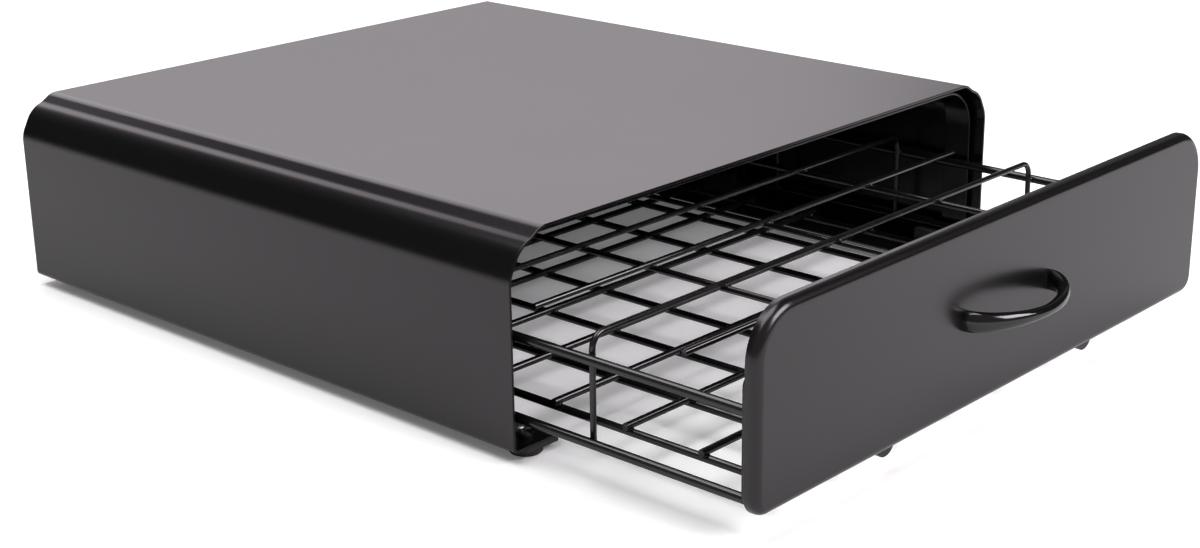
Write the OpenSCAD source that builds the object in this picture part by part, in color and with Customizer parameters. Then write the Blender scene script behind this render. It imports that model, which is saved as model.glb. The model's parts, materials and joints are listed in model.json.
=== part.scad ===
// Coffee pod drawer: a bent sheet-steel housing with a welded wire drawer in it.
// The housing stands on four rubber feet and carries a coffee machine on its flat top.
// Frame: X across, Y from the drawer's handle to the housing's back, Z up, in millimetres.
// The origin is on the table, in the middle of the part's outline as it stands at rest.
// At rest the drawer is part way out. It slides along Y.

/* [Housing] */
// Width of the housing over its side walls
housing_w = 335; // [300:1:380]
// Depth of the housing from its front edge to its rear edge
housing_d = 335; // [325:1:380]
// Height of the sheet housing, without its feet
housing_h = 90; // [86:1:110]
// Thickness of the sheet steel
sheet_t = 1.2; // [0.8:0.1:1.6]
// Width of the inward flanges along the bottom of both side walls
flange_w = 30; // [28:0.5:32]
// Radius of the inner corners at both ends of the flanges
flange_corner_r = 4; // [2:0.5:6]

/* [Housing bends] */
// The upper corners are bumped over in four hits, with a flat between each two.
// Length of the lowest flat, next to the side wall
bend_low_len = 13; // [11:0.5:15]
// Slope of the lowest flat, in degrees from level
bend_low_slope = 62; // [56:1:68]
// Length of the middle flat
bend_mid_len = 7; // [5:0.5:9]
// Slope of the middle flat
bend_mid_slope = 22; // [20:1:30]
// Length of the upper flat, next to the top
bend_top_len = 6.5; // [5:0.5:8]
// Slope of the upper flat
bend_top_slope = 33; // [28:1:36]
// Outside radius that the three upper hits leave in the sheet
hit_r = 7.5; // [3:0.5:8]
// Outside radius of the lowest hit, next to the side wall
wall_hit_r = 4; // [2:0.5:5]
// Outside radius of the bends between the side walls and the bottom flanges
flange_bend_r = 2.5; // [2:0.5:4]

/* [Back panel] */
// How far the back panel is set in from the housing's rear edge
back_inset = 3; // [1:0.5:6]
// Length of the rim that is folded forward all round the back panel
back_rim = 8; // [6:0.5:9]

/* [Opening frame] */
// Distance from the housing's side to the frame's outer face
frame_side_gap = 3.1; // [2.5:0.1:4]
// Distance from the housing's top to the frame's upper face
frame_top_gap = 4.2; // [3:0.1:6]
// Outside radius of the frame's upper corners
frame_corner_r = 21; // [16:1:26]
// Length of the frame's leg along the side walls
frame_leg = 14; // [10:1:16]

/* [Feet] */
// Height of the rubber feet
foot_h = 5; // [4.5:0.5:8]
// Radius of the feet
foot_r = 7; // [6:0.5:7.5]
// Distance from the housing's side to the middle of a front foot
foot_side = 14; // [13:0.5:16]
// Distance from the housing's side to the middle of a rear foot
foot_rear_side = 19; // [16:0.5:20]
// Distance from the front edge to the middle of a front foot
foot_front = 7.5; // [7.5:0.5:9]
// Distance from the rear edge to the middle of a rear foot
foot_rear = 22; // [20:0.5:26]
// Thickness of the plate that spreads a front foot under its flange
foot_plate_t = 2.2; // [1.5:0.1:2.4]
// Width of that plate
foot_plate_w = 19; // [18:0.5:20]
// Radius of the foot screws
screw_r = 2; // [1.5:0.25:2]
// Height of the clinch nuts above the flanges
nut_h = 2; // [1.5:0.1:2.5]

/* [Drawer front] */
// Gap from the housing's outer side to the edge of the drawer front
front_side_gap = 3; // [2.5:0.1:4]
// Height of the drawer front's lower edge above the housing's underside
front_lift = 6.9; // [6:0.1:8]
// Gap from the top of the housing to the upper edge of the drawer front
front_top_gap = 4; // [3:0.1:6]
// Thickness of the drawer front
front_t = 6; // [5.5:0.1:6]
// Radius all round the edge of its face
front_edge_r = 3.8; // [2:0.1:4]
// Radius of its upper corners
front_top_r = 20.5; // [14:0.5:26]
// Radius of its lower corners
front_low_r = 8; // [7:0.5:12]
// Width of the rim between its edge and the hollow behind its face
front_rim = 2.4; // [2.2:0.1:4]

/* [Handle] */
// Length of the bow handle over its two ends
handle_len = 71; // [64:1:96]
// How far the handle stands out from the drawer front
handle_out = 20.5; // [18:0.5:28]
// Height of the bow in its middle
handle_mid_h = 4.6; // [4:0.1:6]
// Height of the bow at its ends
handle_end_h = 9.1; // [8:0.1:11]
// Thickness of the bow in its middle, seen from above
handle_mid_t = 4.7; // [4:0.1:6]
// Thickness of the bow at its ends
handle_end_t = 5.8; // [5.5:0.1:8]
// Depth of the screw holes in its ends
handle_bore = 4; // [3:0.5:5]
// Height of the handle's middle above the lower edge of the drawer front
handle_lift = 39.6; // [30:0.2:50]
// Radius of the handle screws
handle_screw_r = 1.5; // [1.25:0.25:1.5]

/* [Wire basket] */
// Diameter of the rim rod, the base rod and their crossbars
rod_d = 4; // [3.5:0.1:4.5]
// Diameter of the hoops, the lane dividers and the top rungs
wire_d = 2.6; // [2:0.1:3.2]
// Diameter of the rails that carry the pods
rail_d = 3.4; // [2.8:0.1:4]
// Diameter of the bottom rungs
rung_d = 3.2; // [2.6:0.1:3.6]
// Depth of the basket from the back of the drawer front to its rear rods
basket_d = 310; // [300:1:312]
// Distance from the edge of the drawer front to the side rods' middle
rod_side = 5; // [4.5:0.1:6]
// Height of the base rod's middle above the housing's underside
base_lift = 12; // [11.5:0.5:14]
// Height of the rim rod's middle above the housing's underside
rim_lift = 46.2; // [42:0.2:49]
// Height of the hoops' top wire above the housing's underside
hoop_lift = 55.2; // [53:0.2:62]
// Distance between the two rails of a lane
rail_gap = 38; // [30:1:46]
// Distance from one rung to the next
rung_pitch = 38.5; // [30:0.5:39]
// Distance from the back of the drawer front to the first rung
rung_first = 41; // [34:0.5:44]
// How far the bottom rungs stand past the outermost rails
rung_over = 3.2; // [2:0.2:6]
// How far the top rungs end short of the side rods' middle
top_rung_short = 11; // [6:0.5:30]
// Radius of the rods' rear corners
rod_bend_r = 12; // [8:1:20]
// Radius of the bends of hoops and dividers
wire_bend_r = 6; // [4:0.5:8]
// Depth to which crossing wires are welded into each other
weld = 0.3; // [0.2:0.05:0.5]

/* [Mounting strips] */
// Width of the four strips behind the drawer front
strip_w = 12; // [10:0.5:12]
// Thickness of the strips
strip_t = 2.5; // [2:0.1:3]
// Distance from the middle of the drawer front to its two inner strips
strip_inner_x = 76; // [70:1:78]
// Height of the strips' upper ends above the housing's underside
strip_top = 61.5; // [58:0.5:66]
// Height of the outer strips' lower ends above the housing's underside
strip_outer_low = 8.9; // [8:0.1:10]
// Height of the inner strips' lower ends above the housing's underside
strip_inner_low = 1; // [0.5:0.1:4]
// Radius of the strip screws
strip_screw_r = 1.5; // [1.25:0.25:1.5]
// Distance of the lower strip screws above the base crossbar
strip_screw_low = 11; // [9:0.5:12]
// Distance of the upper strip screws below the rim crossbar
strip_screw_high = 10; // [8:0.5:11]

/* [Glides and shoes] */
// Distance from the housing's front edge to the front glides
glide_front = 13; // [12.5:0.5:16]
// Length of the front glides
glide_len = 17; // [12:1:20]
// Width of the front glides
glide_w = 10; // [9:0.5:10.5]
// Length of the tab that reaches inwards from each front glide
glide_tab_len = 6.4; // [6:0.1:7]
// Width of the tab
glide_tab_w = 7; // [6:0.1:7.5]
// Thickness of the tab
glide_tab_t = 1; // [0.8:0.1:1.5]
// Gap between the tab and the clinch nut of the front foot
glide_tab_gap = 0.3; // [0.2:0.1:0.6]
// Radius of the heads of the glide rivets
rivet_head_r = 2.2; // [2:0.1:2.4]
// Length of the shoes under the rear of the basket
shoe_len = 22; // [16:1:26]
// Distance from the basket's rear rods to the shoes
shoe_setback = 26; // [25:0.5:32]
// Wall of the shoes above the base rod
shoe_wall = 1.5; // [1:0.1:2]

/* [Travel] */
// How far the drawer is out at rest
pull = 118; // [60:1:118]
// Running clearance between the drawer and what guides it
run_gap = 0.3; // [0.3:0.05:0.5]
// Gap between the closed drawer front and the opening frame
stop_gap = 0.4; // [0.3:0.05:0.6]
// Radial clearance of a rod, screw or peg in its hole
fit_gap = 0.05; // [0.04:0.01:0.08]

/* [Hidden] */
$fn = 48;
sliver = 0.01;
left = -1;
right = 1;
lanes = 4;
rungs = 7;

// Colours: painted steel, black wire, rubber and nylon
paint = [0.16, 0.16, 0.17];
black = [0.06, 0.06, 0.06];
rubber = [0.09, 0.09, 0.09];
nylon = [0.12, 0.12, 0.12];
zinc = [0.62, 0.63, 0.65];

// Housing places
front_y = (pull + handle_out - housing_d) / 2;
rear_y = front_y + housing_d;
shell_z = foot_h;
shell_top = shell_z + housing_h;
flange_top = shell_z + sheet_t;
half_w = housing_w / 2;
back_y = rear_y - back_inset - sheet_t;
frame_y = front_y + front_t + stop_gap;
foot_spots = [
  [half_w - foot_side, front_y + foot_front],
  [half_w - foot_rear_side, rear_y - foot_rear]
];

// Drawer front places
face_y = front_y - pull;
front_back_y = face_y + front_t;
front_half_w = half_w - front_side_gap;
front_z0 = shell_z + front_lift;
front_z1 = shell_top - front_top_gap;
handle_z = front_z0 + handle_lift;
handle_screw_x = handle_len / 2 - handle_end_t / 2 - 0.5;

// Basket places
strip_back_y = front_back_y + strip_t;
rod_x = front_half_w - rod_side;
rod_rear_y = front_back_y + basket_d;
base_z = shell_z + base_lift;
rim_z = shell_z + rim_lift;
hoop_z = shell_z + hoop_lift;
divider_z = hoop_z - wire_d + weld;
crossbar_y = strip_back_y + rod_d / 2 - weld;
leg_x = rod_x - rod_d / 2 - wire_d / 2 + weld;
lane_pitch = (2 * leg_x - wire_d) / lanes;
rail_z = base_z - rod_d / 2 - rail_d / 2 + weld;
rung_z = rail_z + rail_d / 2 + rung_d / 2 - weld;
outer_rail_x = lane_pitch * (lanes - 1) / 2 + rail_gap / 2;
strip_x = rod_x + rod_d / 2 + 0.9 - strip_w / 2;
glide_outer_x = half_w - frame_side_gap - sheet_t - run_gap;
glide_y = front_y + glide_front;
shoe_outer_x = half_w - sheet_t - 2 * run_gap;
shoe_inner_x = rod_x - rod_d / 2 - 4;
shoe_y = rod_rear_y - shoe_setback - shoe_len;

function lane_x(lane) = (lane - (lanes + 1) / 2) * lane_pitch;
function rung_y(rung) = front_back_y + rung_first + rung * rung_pitch;

// ---------- outlines ----------

// Unit vector from a to b
function towards(a, b) = (b - a) / norm(b - a);

// Signed turn from direction u to direction v, in degrees, positive to the left
function turn(u, v) = atan2(u[0] * v[1] - u[1] * v[0], u * v);

// A closed outline moved inwards by t, for points that run anticlockwise
function inset(pts, t) = [
  for (i = [0 : len(pts) - 1])
    let (
      p = pts[i],
      u = towards(pts[(i + len(pts) - 1) % len(pts)], p),
      v = towards(p, pts[(i + 1) % len(pts)]),
      half = turn(u, v) / 2,
      n = towards([0, 0], [-u[1] - v[1], u[0] + v[0]])
    )
    p + n * t / cos(half)
];

// The same outline with each corner rounded. A corner that turns right is a hollow one, and
// takes the radius on its other side.
function rounded(pts, radii, t = 0, steps = 6) = [
  for (i = [0 : len(pts) - 1])
    let (
      p = pts[i],
      u = towards(pts[(i + len(pts) - 1) % len(pts)], p),
      v = towards(p, pts[(i + 1) % len(pts)]),
      bend = turn(u, v),
      side = sign(bend),
      r = max(0.4, radii[i] - side * t),
      start = p - u * r * tan(abs(bend) / 2),
      centre = start + [-u[1], u[0]] * r * side
    )
    for (k = [0 : steps])
      let (a = bend * k / steps, d = start - centre)
      centre + [d[0] * cos(a) - d[1] * sin(a), d[0] * sin(a) + d[1] * cos(a)]
];

// Corners of the housing's right side, from the bottom bend to the top
function flat_step(length, slope) = length * [-cos(slope), sin(slope)];
bend_run = flat_step(bend_low_len, bend_low_slope) + flat_step(bend_mid_len, bend_mid_slope)
  + flat_step(bend_top_len, bend_top_slope);
wall_top = [half_w, shell_top - bend_run[1]];
low_top = wall_top + flat_step(bend_low_len, bend_low_slope);
mid_top = low_top + flat_step(bend_mid_len, bend_mid_slope);
right_corners = [[half_w, shell_z], wall_top, low_top, mid_top, wall_top + bend_run];
left_corners = [for (i = [4 : -1 : 0]) [-right_corners[i][0], right_corners[i][1]]];
shell_corners = concat(right_corners, left_corners);
half_radii = [flange_bend_r, wall_hit_r, hit_r, hit_r, hit_r];
shell_radii = concat(half_radii, [for (i = [4 : -1 : 0]) half_radii[i]]);

function shell_outline(t) = rounded(inset(shell_corners, t), shell_radii, t);

// A 2-D drawing in X and Z, made into a plate that runs from y0 back to y1
module plate(y0, y1) {
  translate([0, y1, 0]) rotate([90, 0, 0]) linear_extrude(y1 - y0) children();
}

// Rectangle with round upper and lower corners, in X and Z
module round_face(half, z0, z1, upper_r, lower_r) {
  translate([-half + upper_r, z0]) square([2 * (half - upper_r), z1 - z0]);
  translate([-half + lower_r, z0]) square([2 * (half - lower_r), z1 - z0 - upper_r]);
  translate([-half, z0 + lower_r]) square([2 * half, z1 - z0 - upper_r - lower_r]);
  for (side = [left, right]) {
    translate([side * (half - upper_r), z1 - upper_r]) circle(upper_r);
    translate([side * (half - lower_r), z0 + lower_r]) circle(lower_r);
  }
}

// ---------- wires ----------

module wire_x(d, x0, x1, y, z) {
  translate([x0, y, z]) rotate([0, 90, 0]) cylinder(d = d, h = x1 - x0);
}

module wire_y(d, x, y0, y1, z) {
  translate([x, y1, z]) rotate([90, 0, 0]) cylinder(d = d, h = y1 - y0);
}

module wire_z(d, x, y, z0, z1) {
  translate([x, y, z0]) cylinder(d = d, h = z1 - z0);
}

module elbow(d, bend_r) {
  rotate_extrude(angle = 90) translate([bend_r, 0]) circle(d = d);
}

// Rod bent to a U that is open to the front, welded to the outer strips
module u_rod(z) {
  corner_x = rod_x - rod_bend_r;
  corner_y = rod_rear_y - rod_bend_r;
  for (side = [left, right]) wire_y(rod_d, side * rod_x, strip_back_y, corner_y, z);
  wire_x(rod_d, -corner_x, corner_x, rod_rear_y, z);
  translate([corner_x, corner_y, z]) elbow(rod_d, rod_bend_r);
  translate([-corner_x, corner_y, z]) rotate([0, 0, 90]) elbow(rod_d, rod_bend_r);
}

// Straight rod between the two sides of a U rod, welded across the strips
module crossbar(z) {
  end = rod_x - rod_d / 2 + weld;
  wire_x(rod_d, -end, end, crossbar_y, z);
}

// Wire bent over the basket from one side to the other, its legs inside the rim and base rods
module hoop(rung) {
  y = rung_y(rung);
  corner_x = leg_x - wire_bend_r;
  corner_z = hoop_z - wire_bend_r;
  for (side = [left, right]) wire_z(wire_d, side * leg_x, y, base_z - rod_d / 2, corner_z);
  wire_x(wire_d, -corner_x, corner_x, y, hoop_z);
  translate([corner_x, y, corner_z]) rotate([90, 0, 0]) elbow(wire_d, wire_bend_r);
  translate([-corner_x, y, corner_z]) rotate([90, 0, 180]) elbow(wire_d, wire_bend_r);
}

// Wire bent over from the front crossbars to the rear rods, between two lanes
module lane_divider(step) {
  x = step * lane_pitch;
  leg = rod_d / 2 + wire_d / 2 - weld;
  y0 = crossbar_y + leg;
  y1 = rod_rear_y - leg;
  corner_z = divider_z - wire_bend_r;
  for (y = [y0, y1]) wire_z(wire_d, x, y, base_z - rod_d / 2, corner_z);
  wire_y(wire_d, x, y0 + wire_bend_r, y1 - wire_bend_r, divider_z);
  translate([x, y1 - wire_bend_r, corner_z]) rotate([90, 0, 90]) elbow(wire_d, wire_bend_r);
  translate([x, y0 + wire_bend_r, corner_z]) rotate([90, 0, -90]) elbow(wire_d, wire_bend_r);
}

module lane_rails(lane) {
  color(black)
    for (side = [left, right])
      wire_y(rail_d, lane_x(lane) + side * rail_gap / 2, front_back_y + strip_t / 2,
        rod_rear_y + rod_d / 2, rail_z);
}

// ---------- screws ----------

// Pan-head screw along Y, its head's seat at y = 0 and its shank towards -Y
module screw_forward(shank_r, shank_len) {
  rotate([90, 0, 0]) cylinder(r = shank_r, h = shank_len);
  rotate([-90, 0, 0]) cylinder(r1 = 2 * shank_r, r2 = 1.5 * shank_r, h = 1.1 * shank_r);
}

// ---------- housing ----------

foot_hole_r = screw_r + 4 * fit_gap;
nut_r = 1.7 * screw_r;
rivet_r = rivet_head_r * 0.55;
glide_peg_r = 2;
glide_peg_y = glide_y + glide_len / 2;
glide_peg_x = glide_outer_x - glide_w / 2;
tab_inner_x = glide_outer_x - glide_w - glide_tab_len;
tab_y = foot_spots[0][1] + nut_r + glide_tab_gap;
rivet_x = tab_inner_x + glide_tab_len / 2;
rivet_y = tab_y + glide_tab_w / 2;

// The opening between the bottom flanges, seen from above
module flange_opening() {
  half = half_w - flange_w;
  r = flange_corner_r;
  translate([-half, front_y - 1]) square([2 * half, housing_d + 2]);
  for (side = [left, right], end = [[front_y, 1], [rear_y, -1]])
    translate([side * half, end[0]]) difference() {
      square(2 * r, center = true);
      translate([side * r, end[1] * r]) circle(r);
    }
}

module housing_shell() {
  color(paint)
  difference() {
    plate(front_y, rear_y) polygon(shell_outline(0));
    plate(front_y - 1, rear_y + 1) polygon(shell_outline(sheet_t));
    translate([0, 0, shell_z - 1]) linear_extrude(sheet_t + 2) flange_opening();
    for (side = [left, right]) {
      for (spot = foot_spots)
        translate([side * spot[0], spot[1], shell_z - 1]) cylinder(r = foot_hole_r, h = sheet_t + 2);
      translate([side * glide_peg_x, glide_peg_y, shell_z - 1])
        cylinder(r = glide_peg_r + fit_gap, h = sheet_t + 2);
      translate([side * rivet_x, rivet_y, shell_z - 1])
        cylinder(r = rivet_r + fit_gap, h = sheet_t + 2);
    }
  }
}

module back_panel() {
  color(paint)
  difference() {
    plate(back_y - back_rim, back_y + sheet_t) polygon(shell_outline(sheet_t));
    plate(back_y - back_rim - 1, back_y) polygon(shell_outline(2 * sheet_t));
  }
}

// Outline of the frame that stiffens the opening, with legs that stand on the flanges
module frame_outline(t) {
  half = half_w - frame_side_gap - t;
  top = shell_top - frame_top_gap - t;
  r = frame_corner_r - t;
  translate([-half, flange_top]) square([2 * half, top - r - flange_top]);
  translate([-half + r, flange_top]) square([2 * (half - r), top - flange_top]);
  for (side = [left, right]) translate([side * (half - r), top - r]) circle(r);
}

module opening_frame() {
  flange_y = frame_y + frame_leg - sheet_t;
  color(paint)
  difference() {
    union() {
      plate(frame_y, frame_y + frame_leg) frame_outline(0);
      plate(flange_y, flange_y + sheet_t) polygon(shell_outline(sheet_t));
    }
    plate(frame_y - 1, frame_y + frame_leg + 1) frame_outline(sheet_t);
  }
}

// Nylon block that the base rod slides over, with a lip along its outer side. A tab is riveted
// to the flange and a peg reaches through it.
module front_glide(side) {
  lip = 0.8;
  block_h = base_z - rod_d / 2 - run_gap - flange_top;
  tab_reach = glide_tab_len + glide_w / 2;
  color(nylon) {
    translate([side * glide_peg_x, glide_y, flange_top]) {
      translate([-glide_w / 2, 0, 0]) cube([glide_w, glide_len, block_h]);
      translate([side * (glide_w - lip) / 2 - lip / 2, 0, 0]) cube([lip, glide_len, block_h + 3]);
      translate([0, glide_len / 2, -sheet_t]) cylinder(r = glide_peg_r, h = sheet_t + sliver);
    }
    difference() {
      translate([side * (tab_inner_x + tab_reach / 2) - tab_reach / 2, tab_y, flange_top])
        cube([tab_reach, glide_tab_w, glide_tab_t]);
      translate([side * rivet_x, rivet_y, flange_top - 1])
        cylinder(r = rivet_r + fit_gap, h = glide_tab_t + 2);
    }
  }
}

// Flat-headed rivets, set flush with the underside of the flanges
module glide_rivets() {
  head_h = rivet_head_r * 0.4;
  color(zinc)
  for (side = [left, right])
    translate([side * rivet_x, rivet_y, 0]) {
      translate([0, 0, shell_z]) cylinder(r = rivet_r, h = sheet_t + glide_tab_t + sliver);
      translate([0, 0, flange_top + glide_tab_t])
        cylinder(r1 = rivet_head_r, r2 = rivet_head_r * 0.6, h = head_h);
    }
}

foot_recess_r = 2 * screw_r;
foot_recess_h = foot_h / 2;
foot_head_r = 1.7 * screw_r;
foot_head_h = screw_r;
foot_chamfer = 0.8;

// Round rubber foot, its screw head sunk in a recess. The front feet carry a plate that spreads
// them under the flange.
module foot(side, spot, plate_w = 0) {
  plate_inner = foot_spots[0][0] + foot_r - plate_w;
  color(rubber)
  difference() {
    union() {
      translate([side * spot[0], spot[1], 0]) {
        cylinder(r1 = foot_r - foot_chamfer, r2 = foot_r, h = foot_chamfer);
        translate([0, 0, foot_chamfer]) cylinder(r = foot_r, h = foot_h - foot_chamfer);
      }
      if (plate_w > 0)
        translate([side * (plate_inner + plate_w / 2) - plate_w / 2, front_y, foot_h - foot_plate_t])
          cube([plate_w, foot_front + screw_r + 1, foot_plate_t]);
    }
    translate([side * spot[0], spot[1], 0]) {
      translate([0, 0, -1]) cylinder(r = foot_recess_r, h = foot_recess_h + 1);
      cylinder(r = screw_r + fit_gap, h = foot_h + 1);
    }
  }
}

module foot_screws() {
  color(zinc)
  for (side = [left, right], spot = foot_spots)
    translate([side * spot[0], spot[1], foot_recess_h]) {
      translate([0, 0, -foot_head_h])
        cylinder(r1 = 0.75 * foot_head_r, r2 = foot_head_r, h = foot_head_h);
      cylinder(r = screw_r, h = foot_h - foot_recess_h + sheet_t + nut_h);
    }
}

// Round clinch nuts, pressed into the flanges from above
module foot_nuts() {
  color(paint)
  for (side = [left, right], spot = foot_spots)
    translate([side * spot[0], spot[1], flange_top])
    difference() {
      cylinder(r = nut_r, h = nut_h);
      translate([0, 0, -1]) cylinder(r = screw_r + fit_gap, h = nut_h + 2);
    }
}

// ---------- drawer front ----------

// Quarter of the round edge at a corner of the drawer front
module corner_round(corner_r, start) {
  rotate([90, start, 0]) mirror([0, 0, 1])
    rotate_extrude(angle = 90) translate([corner_r - front_edge_r, 0]) circle(front_edge_r);
}

// Plate with its face's edge rounded
module soft_plate() {
  r = front_edge_r;
  y = face_y + r;
  upper_x = front_half_w - front_top_r;
  lower_x = front_half_w - front_low_r;
  upper_z = front_z1 - front_top_r;
  lower_z = front_z0 + front_low_r;
  plate(y, front_back_y)
    round_face(front_half_w, front_z0, front_z1, front_top_r, front_low_r);
  plate(face_y, front_back_y)
    round_face(front_half_w - r, front_z0 + r, front_z1 - r, front_top_r - r, front_low_r - r);
  wire_x(2 * r, -upper_x, upper_x, y, front_z1 - r);
  wire_x(2 * r, -lower_x, lower_x, y, front_z0 + r);
  for (side = [left, right]) {
    wire_z(2 * r, side * (front_half_w - r), y, lower_z, upper_z);
    translate([side * upper_x, y, upper_z])
      corner_round(front_top_r, side == right ? 0 : -90);
    translate([side * lower_x, y, lower_z])
      corner_round(front_low_r, side == right ? 90 : 180);
  }
}

module hollow_outline(gap) {
  i = front_rim + gap;
  round_face(front_half_w - i, front_z0 + i, front_z1 - i, front_top_r - i, front_low_r - i);
}

module front_panel() {
  color(paint)
  difference() {
    soft_plate();
    plate(front_back_y, front_back_y + front_edge_r) square(3 * housing_w, center = true);
    plate(face_y + sheet_t, front_back_y + 1) hollow_outline(0);
    for (side = [left, right])
      translate([side * handle_screw_x, face_y + sheet_t + 1, handle_z])
        rotate([90, 0, 0]) cylinder(r = handle_screw_r + 2 * fit_gap, h = sheet_t + 2);
  }
}

strip_screw_zs = [base_z + strip_screw_low, rim_z - strip_screw_high];
strip_xs = [-strip_x, -strip_inner_x, strip_inner_x, strip_x];

module panel_back_plate() {
  color(paint)
  difference() {
    plate(front_back_y - sheet_t, front_back_y) hollow_outline(0);
    for (x = strip_xs, z = strip_screw_zs)
      translate([x, front_back_y + 1, z])
        rotate([90, 0, 0]) cylinder(r = strip_screw_r + fit_gap, h = sheet_t + 2);
  }
}

// ---------- handle ----------

// The bow is nearly half an ellipse seen from above, a little straighter in its sides. Both its
// height and its thickness fall from the ends to the middle.
bow_curve = 1.1;
bow_taper = 1.6;
bow_steps = 36;
ring_points = 16;

function signed_pow(value, power) = sign(value) * pow(abs(value), power);

function bow_ring(angle) =
  let (
    reach_x = (handle_len - handle_end_t) / 2,
    reach_y = handle_out - handle_mid_t / 2,
    c = cos(angle),
    s = sin(angle),
    centre = [-reach_x * signed_pow(c, bow_curve), -reach_y * pow(s, bow_curve)],
    along = towards([0, 0],
      [reach_x * pow(s, 2 - bow_curve), -reach_y * signed_pow(c, 2 - bow_curve)]),
    across = [along[1], -along[0]],
    taper = pow(abs(c), bow_taper),
    height = handle_mid_h + (handle_end_h - handle_mid_h) * taper,
    thick = handle_mid_t + (handle_end_t - handle_mid_t) * taper
  )
  [
    for (k = [0 : ring_points - 1])
      let (a = 360 * k / ring_points, out = across * cos(a) * thick / 2)
      [centre[0] + out[0], centre[1] + out[1], sin(a) * height / 2]
  ];

module bow() {
  points = [for (i = [0 : bow_steps]) each bow_ring(180 * i / bow_steps)];
  sides = [
    for (i = [0 : bow_steps - 1], k = [0 : ring_points - 1])
      let (
        a = i * ring_points + k,
        b = i * ring_points + (k + 1) % ring_points
      )
      [a, b, b + ring_points, a + ring_points]
  ];
  first = [for (k = [ring_points - 1 : -1 : 0]) k];
  last = [for (k = [0 : ring_points - 1]) bow_steps * ring_points + k];
  polyhedron(points, concat([first], sides, [last]), convexity = 4);
}

module handle() {
  color(black)
  translate([0, face_y, handle_z])
  difference() {
    bow();
    for (side = [left, right])
      translate([side * handle_screw_x, 1, 0])
        rotate([90, 0, 0]) cylinder(r = handle_screw_r + fit_gap, h = handle_bore + 1);
  }
}

module handle_screws() {
  color(zinc)
  for (side = [left, right])
    translate([side * handle_screw_x, face_y + sheet_t, handle_z])
      screw_forward(handle_screw_r, sheet_t + handle_bore - 0.5);
}

// ---------- mounting strips ----------

module strip(x, low) {
  r = strip_w / 2;
  z0 = shell_z + low;
  z1 = shell_z + strip_top;
  color(black)
  difference() {
    plate(front_back_y, strip_back_y) {
      translate([x - r, z0 + r]) square([strip_w, z1 - z0 - 2 * r]);
      for (z = [z0 + r, z1 - r]) translate([x, z]) circle(r);
    }
    for (z = strip_screw_zs)
      translate([x, strip_back_y + 1, z])
        rotate([90, 0, 0]) cylinder(r = strip_screw_r + 2 * fit_gap, h = strip_t + 2);
  }
}

module strip_screws() {
  color(zinc)
  for (x = strip_xs, z = strip_screw_zs)
    translate([x, strip_back_y, z])
      screw_forward(strip_screw_r, strip_t + sheet_t + 2);
}

// ---------- wire basket ----------

module bottom_rungs() {
  end = outer_rail_x + rung_over;
  color(black)
    for (rung = [0 : rungs - 1]) wire_x(rung_d, -end, end, rung_y(rung), rung_z);
}

// Straight wires over the dividers, between one hoop and the next
module top_rungs() {
  end = rod_x - top_rung_short;
  color(black)
    for (rung = [0 : 2 : rungs - 1]) wire_x(wire_d, -end, end, rung_y(rung), hoop_z);
}

// Nylon shoe that snaps over the base rod from below its slot and slides on the bottom flange
module rear_shoe(side) {
  width = shoe_outer_x - shoe_inner_x;
  z0 = flange_top + run_gap;
  z1 = base_z + rod_d / 2 + shoe_wall;
  snap = rod_d * 0.8;
  chamfer = 2;
  color(nylon)
  difference() {
    translate([side * (shoe_inner_x + width / 2) - width / 2, shoe_y, z0])
      cube([width, shoe_len, z1 - z0]);
    wire_y(rod_d + 2 * fit_gap, side * rod_x, shoe_y - 1, shoe_y + shoe_len + 1, base_z);
    translate([side * rod_x - snap / 2, shoe_y - 1, base_z]) cube([snap, shoe_len + 2, z1]);
    for (y = [shoe_y, shoe_y + shoe_len])
      translate([0, y, z0]) rotate([45, 0, 0])
        cube([2 * half_w, chamfer, chamfer], center = true);
  }
}

housing_shell();
back_panel();
opening_frame();
front_glide(left);  // front_glide_left
front_glide(right);  // front_glide_right
foot(left, foot_spots[0], foot_plate_w);  // foot_front_left
foot(right, foot_spots[0], foot_plate_w);  // foot_front_right
foot(left, foot_spots[1]);  // foot_rear_left
foot(right, foot_spots[1]);  // foot_rear_right
foot_screws();
foot_nuts();
glide_rivets();
front_panel();
panel_back_plate();
handle();
handle_screws();
strip(-strip_x, strip_outer_low);  // strip_outer_left
strip(strip_x, strip_outer_low);  // strip_outer_right
strip(-strip_inner_x, strip_inner_low);  // strip_inner_left
strip(strip_inner_x, strip_inner_low);  // strip_inner_right
strip_screws();
color(black) u_rod(rim_z);  // rim_rod
color(black) crossbar(rim_z);  // rim_crossbar
color(black) u_rod(base_z);  // base_rod
color(black) crossbar(base_z);  // base_crossbar
lane_rails(1);  // lane_1_rails
lane_rails(2);  // lane_2_rails
lane_rails(3);  // lane_3_rails
lane_rails(4);  // lane_4_rails
bottom_rungs();
top_rungs();
color(black) hoop(1);  // hoop_front
color(black) hoop(3);  // hoop_middle
color(black) hoop(5);  // hoop_rear
color(black) lane_divider(-1);  // lane_divider_left
color(black) lane_divider(0);  // lane_divider_centre
color(black) lane_divider(1);  // lane_divider_right
rear_shoe(left);  // rear_shoe_left
rear_shoe(right);  // rear_shoe_right
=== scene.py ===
import json
from math import acos, cos, pi, radians, sin, tan

import bmesh
import bpy
from mathutils import Matrix, Vector


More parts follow.
